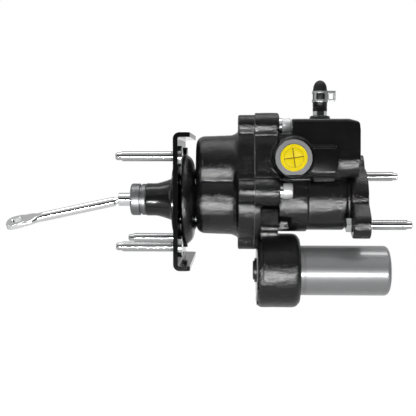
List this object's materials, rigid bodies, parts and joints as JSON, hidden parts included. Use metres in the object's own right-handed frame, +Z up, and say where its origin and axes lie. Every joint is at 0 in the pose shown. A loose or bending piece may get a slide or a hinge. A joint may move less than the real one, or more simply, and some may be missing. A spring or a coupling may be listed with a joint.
{
  "type": "hydraulic brake booster",
  "caption": "Hydraulic brake booster with firewall bracket, pedal rod, power cylinder, valve body, master cylinder flange and a reserve gear pump with electric motor.",
  "frame": {"origin": "where the pedal axis meets the firewall face of the bracket, at the centre of the four firewall studs", "axes": "+X along the pedal axis towards the master cylinder, +Y across the vehicle away from the viewer of the picture, +Z up"},
  "size_m": [0.4242, 0.124, 0.2399],
  "materials": {
    "bracket_paint": "satin black paint on pressed steel",
    "black_casting": "gloss black paint over an as-cast surface",
    "neck_iron": "gloss black paint, bare turned end",
    "zinc_steel": "bright zinc plate",
    "bright_steel": "bright plated and polished",
    "ground_steel": "ground steel",
    "spring_steel": "drawn spring wire",
    "dark_screw": "black oxide",
    "piston_alloy": "turned aluminium",
    "bronze": "sintered bronze",
    "seal_rubber": "moulded rubber",
    "cap_rubber": "matte moulded rubber",
    "gasket": "pressed gasket sheet",
    "yellow_plug": "glossy yellow plastic",
    "black_plastic": "glass-filled black plastic",
    "brush_board": "laminate board",
    "carbon": "carbon",
    "can_steel": "drawn steel can, dull zinc plate",
    "lamination": "stacked steel laminations",
    "copper": "enamelled copper",
    "magnet": "ferrite"
  },
  "bodies": {
    "root": {"mounting_bracket": "bracket_paint", "bracket_studs": "zinc_steel", "input_neck": "neck_iron", "neck_screws": "dark_screw", "neck_bush": "bronze", "end_cap": "black_casting", "plunger_seal": "seal_rubber", "power_cylinder": "black_casting", "housing_gasket": "gasket", "housing_bolts": "zinc_steel", "lock_washers": "zinc_steel", "valve_body": "black_casting", "stem_bush": "bronze", "stem_seal": "seal_rubber", "output_housing": "black_casting", "flange_studs": "zinc_steel", "port_plugs": "yellow_plug", "port_o_rings": "seal_rubber", "return_fitting": "zinc_steel", "return_cap": "cap_rubber", "hose_clamp": "zinc_steel", "flow_bore_plug": "dark_screw", "flow_spring": "spring_steel", "flow_switch_socket": "black_plastic", "return_spring": "spring_steel", "pump_housing": "black_casting", "pump_cover": "black_casting", "pump_cover_screws": "dark_screw", "pump_end_plug": "black_plastic", "pump_neck_screws": "dark_screw", "check_valve_seat": "bronze", "check_valve_spring": "spring_steel", "shaft_seal": "seal_rubber", "front_bearing": "ground_steel", "rear_bush": "bronze", "motor_can": "can_steel", "motor_magnets": "magnet", "motor_brushes": "carbon", "brush_plate": "brush_board", "motor_socket": "black_plastic"},
    "input": {"input_plunger": "bright_steel", "ball_retainer": "ground_steel", "throttle_spring": "spring_steel"},
    "push_rod": {"push_rod": "bright_steel"},
    "piston": {"power_piston": "piston_alloy", "piston_seal": "seal_rubber", "piston_stem": "ground_steel", "output_rod": "ground_steel", "rod_bumper": "seal_rubber"},
    "flow_piston": {"flow_piston": "piston_alloy"},
    "check_ball": {"check_valve_ball": "ground_steel"},
    "rotor": {"motor_shaft": "ground_steel", "armature_core": "lamination", "armature_windings": "copper", "commutator": "copper", "drive_gear": "ground_steel"},
    "idler": {"idler_gear": "ground_steel", "idler_shaft": "ground_steel"}
  },
  "joints": [
    {"name": "pedal_slide", "type": "slide", "parent": "root", "child": "input", "axis": [1, 0, 0], "range_m": [0, 0.028], "stiffness_N_per_m": 800, "deforming": ["throttle_spring"]},
    {"name": "rod_tilt", "type": "hinge", "parent": "input", "child": "push_rod", "pos_m": [-0.057, 0, 0], "axis": [0, 1, 0], "range_deg": [0, 24.2]},
    {"name": "piston_slide", "type": "slide", "parent": "root", "child": "piston", "axis": [1, 0, 0], "range_m": [0, 0.0266], "deforming": ["return_spring"]},
    {"name": "flow_slide", "type": "slide", "parent": "root", "child": "flow_piston", "axis": [1, 0, 0], "range_m": [0, 0.006], "stiffness_N_per_m": 300, "deforming": ["flow_spring"]},
    {"name": "check_ball_lift", "type": "slide", "parent": "root", "child": "check_ball", "axis": [0, 0, 1], "range_m": [0, 0.003], "stiffness_N_per_m": 200, "deforming": ["check_valve_spring"]},
    {"name": "motor_spin", "type": "hinge", "parent": "root", "child": "rotor", "pos_m": [0.1, 0, -0.0754], "axis": [1, 0, 0], "continuous": true},
    {"name": "idler_spin", "type": "hinge", "parent": "root", "child": "idler", "pos_m": [0.1, 0.018, -0.0754], "axis": [1, 0, 0], "continuous": true}
  ],
  "couplings": [
    {"joint": "piston_slide", "follows": "pedal_slide", "ratio": 0.95},
    {"joint": "idler_spin", "follows": "motor_spin", "ratio": -1}
  ]
}
